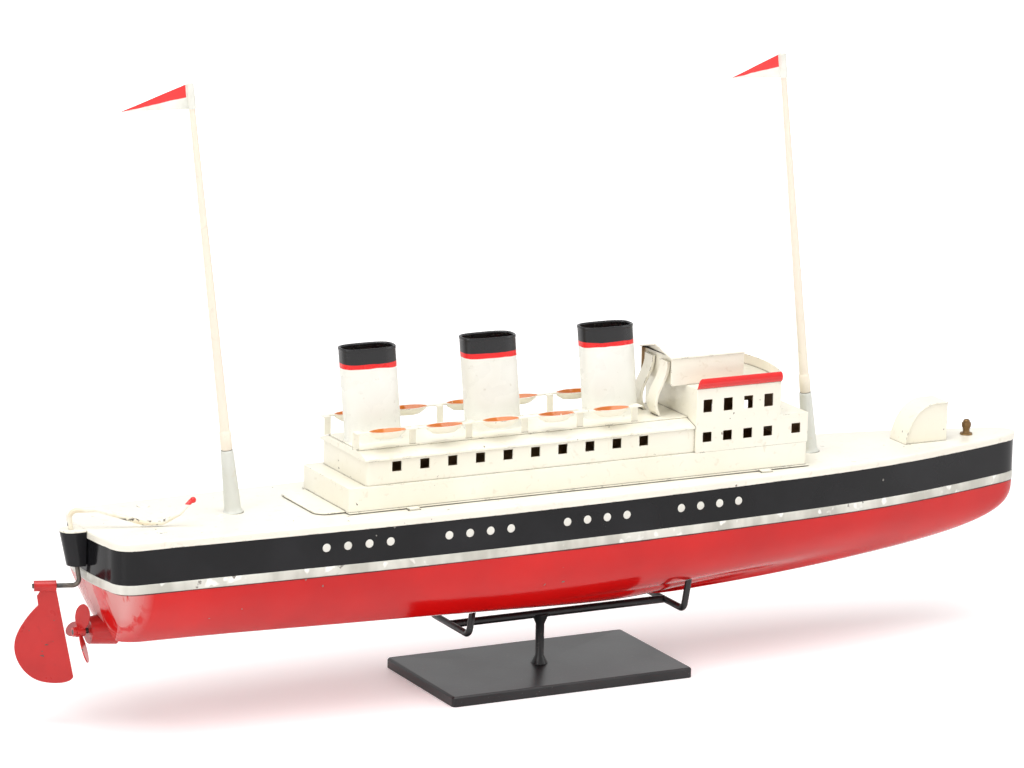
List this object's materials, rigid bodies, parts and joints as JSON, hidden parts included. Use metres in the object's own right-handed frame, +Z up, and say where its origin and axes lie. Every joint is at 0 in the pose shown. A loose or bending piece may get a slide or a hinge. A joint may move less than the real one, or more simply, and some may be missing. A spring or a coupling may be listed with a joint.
{
  "type": "toy boat",
  "caption": "Tinplate clockwork ocean liner with funnels, masts, lifeboats, swinging rudder and screw, resting on a wire display stand.",
  "frame": {"origin": "centre of the stand's underside, on the table", "axes": "+X to the bow, +Y to port, +Z up"},
  "size_m": [0.5297, 0.0818, 0.2989],
  "materials": {
    "red_enamel": "glossy hand-applied red enamel",
    "black_enamel": "glossy black enamel",
    "white_enamel": "brushed off-white enamel over solder",
    "cream_enamel": "cream enamel, lightly aged",
    "funnel_enamel": "off-white enamel with a red band and black top",
    "lifeboat_enamel": "cream outside, orange inside",
    "mast_enamel": "ivory enamel",
    "pennant_enamel": "red over white enamel",
    "stand_black": "satin black lacquer",
    "dark_steel": "darkened steel",
    "brass": "dull brass",
    "spring_steel": "blued spring steel"
  },
  "bodies": {
    "stand": {"base_plate": "stand_black", "stand_post": "stand_black", "stand_screw": "dark_steel", "stand_spine": "stand_black", "aft_cradle": "stand_black", "fore_cradle": "stand_black"},
    "hull": {"lower_hull": "red_enamel", "upper_strake": "black_enamel", "waterline_seam": "white_enamel", "deck_lid": "cream_enamel", "portholes_starboard": "white_enamel", "portholes_port": "white_enamel", "stern_tube": "red_enamel", "rudder_trunk": "black_enamel", "trunk_cap": "cream_enamel", "aft_mast_socket": "cream_enamel", "fore_mast_socket": "cream_enamel", "foredeck_hood": "cream_enamel", "hood_cheeks": "cream_enamel", "capstan": "brass", "motor_top_plate": "brass", "motor_bottom_plate": "brass", "motor_pillars": "dark_steel", "motor_brackets": "brass"},
    "mainspring_barrel": {"spring_barrel": "brass", "great_wheel": "brass", "winding_arbor": "dark_steel", "mainspring": "spring_steel"},
    "crown_arbor": {"crown_wheel": "brass", "idler_pinion": "brass", "idler_arbor": "dark_steel"},
    "screw": {"propeller": "red_enamel", "propeller_nut": "red_enamel", "propeller_shaft": "dark_steel", "lantern_pinion": "brass"},
    "rudder": {"rudder_wire": "dark_steel", "rudder_blade": "red_enamel"},
    "superstructure": {"house_base": "cream_enamel", "lower_house": "cream_enamel", "upper_house": "cream_enamel", "upper_roof": "cream_enamel", "boat_deck": "cream_enamel", "bridge_house": "cream_enamel", "bridge_bulwark": "cream_enamel", "chart_house": "cream_enamel", "chart_house_roof": "cream_enamel", "funnel_aft": "funnel_enamel", "funnel_middle": "funnel_enamel", "funnel_fore": "funnel_enamel", "lifeboats_starboard": "lifeboat_enamel", "lifeboats_port": "lifeboat_enamel", "dodger_starboard": "red_enamel", "dodger_port": "red_enamel", "stair_starboard": "cream_enamel", "stair_port": "cream_enamel"},
    "aft_mast": {"aft_mast": "mast_enamel", "aft_pennant": "pennant_enamel"},
    "fore_mast": {"fore_mast": "mast_enamel", "fore_pennant": "pennant_enamel"}
  },
  "joints": [
    {"name": "hull_lift", "type": "slide", "parent": "stand", "child": "hull", "axis": [0, 0, 1], "range_m": [0, 0.1]},
    {"name": "superstructure_lift", "type": "slide", "parent": "hull", "child": "superstructure", "axis": [0, 0, 1], "range_m": [0, 0.07]},
    {"name": "aft_mast_pull", "type": "slide", "parent": "hull", "child": "aft_mast", "axis": [-0.1115, 0, 0.9938], "range_m": [0, 0.04]},
    {"name": "fore_mast_pull", "type": "slide", "parent": "hull", "child": "fore_mast", "axis": [-0.1115, 0, 0.9938], "range_m": [0, 0.04]},
    {"name": "rudder_swing", "type": "hinge", "parent": "hull", "child": "rudder", "pos_m": [-0.2414, 0, 0.096], "axis": [-0.1564, 0, 0.9877], "range_deg": [-8, 42]},
    {"name": "barrel_spin", "type": "hinge", "parent": "hull", "child": "mainspring_barrel", "pos_m": [-0.066, 0, 0.066], "axis": [0, 0, 1], "continuous": true},
    {"name": "crown_spin", "type": "hinge", "parent": "hull", "child": "crown_arbor", "pos_m": [-0.091, 0, 0.066], "axis": [0, 0, 1], "continuous": true},
    {"name": "screw_spin", "type": "hinge", "parent": "hull", "child": "screw", "pos_m": [-0.236, 0, 0.047], "axis": [1, 0, 0], "continuous": true}
  ],
  "couplings": [
    {"joint": "crown_spin", "follows": "barrel_spin", "ratio": -4},
    {"joint": "screw_spin", "follows": "barrel_spin", "ratio": -12}
  ]
}
